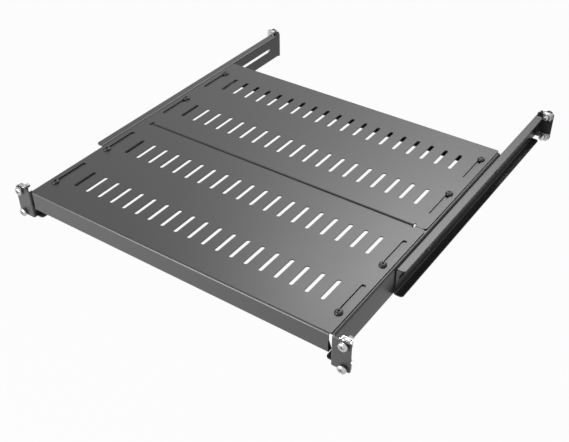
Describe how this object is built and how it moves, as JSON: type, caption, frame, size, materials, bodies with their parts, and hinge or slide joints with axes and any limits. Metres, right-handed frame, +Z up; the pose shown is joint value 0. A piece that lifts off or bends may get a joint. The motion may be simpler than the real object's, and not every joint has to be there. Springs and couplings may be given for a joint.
{
  "type": "vented server shelf",
  "caption": "Vented rack shelf of slotted sheet-steel trays on telescoping side rails with front and rear mounting ears, dark grey powder coat.",
  "frame": {"origin": "centre of the rectangle of the front mounting screws, on the front faces of the front ears", "axes": "+X to the right seen from the front, +Y to the rear of the rack, +Z up"},
  "size_m": [0.481, 0.544, 0.0439],
  "materials": {
    "powder_coat": "fine satin powder coat, dark grey",
    "black_screws": "black oxide",
    "bright_zinc": "bright zinc plating",
    "spring_steel": "dull zinc plating"
  },
  "bodies": {
    "frame": {"left_front_rail": "powder_coat", "right_front_rail": "powder_coat", "front_tray_left_screws": "black_screws", "front_tray_right_screws": "black_screws", "rear_tray_left_screws": "black_screws", "rear_tray_right_screws": "black_screws", "left_lock_bolts": "black_screws", "left_lock_washers": "black_screws", "left_lock_nuts": "black_screws", "right_lock_bolts": "black_screws", "right_lock_washers": "black_screws", "right_lock_nuts": "black_screws", "left_clinch_nuts": "bright_zinc", "right_clinch_nuts": "bright_zinc", "left_front_mount_screws": "bright_zinc", "left_front_nut_cages": "spring_steel", "left_front_square_nuts": "spring_steel", "right_front_mount_screws": "bright_zinc", "right_front_nut_cages": "spring_steel", "right_front_square_nuts": "spring_steel"},
    "front_tray_body": {"front_tray": "powder_coat"},
    "rear_tray_body": {"rear_tray": "powder_coat"},
    "left_rear_rail_body": {"left_rear_rail": "powder_coat", "left_rear_mount_screws": "bright_zinc", "left_rear_nut_cages": "spring_steel", "left_rear_square_nuts": "spring_steel"},
    "right_rear_rail_body": {"right_rear_rail": "powder_coat", "right_rear_mount_screws": "bright_zinc", "right_rear_nut_cages": "spring_steel", "right_rear_square_nuts": "spring_steel"}
  },
  "joints": [
    {"name": "front_tray_slide", "type": "slide", "parent": "frame", "child": "front_tray_body", "axis": [0, 1, 0], "range_m": [-0.048, 0]},
    {"name": "rear_tray_slide", "type": "slide", "parent": "frame", "child": "rear_tray_body", "axis": [0, 1, 0], "range_m": [0, 0.046]},
    {"name": "left_rear_rail_slide", "type": "slide", "parent": "frame", "child": "left_rear_rail_body", "axis": [0, 1, 0], "range_m": [-0.105, 0.06]},
    {"name": "right_rear_rail_slide", "type": "slide", "parent": "frame", "child": "right_rear_rail_body", "axis": [0, 1, 0], "range_m": [-0.105, 0.06]}
  ]
}
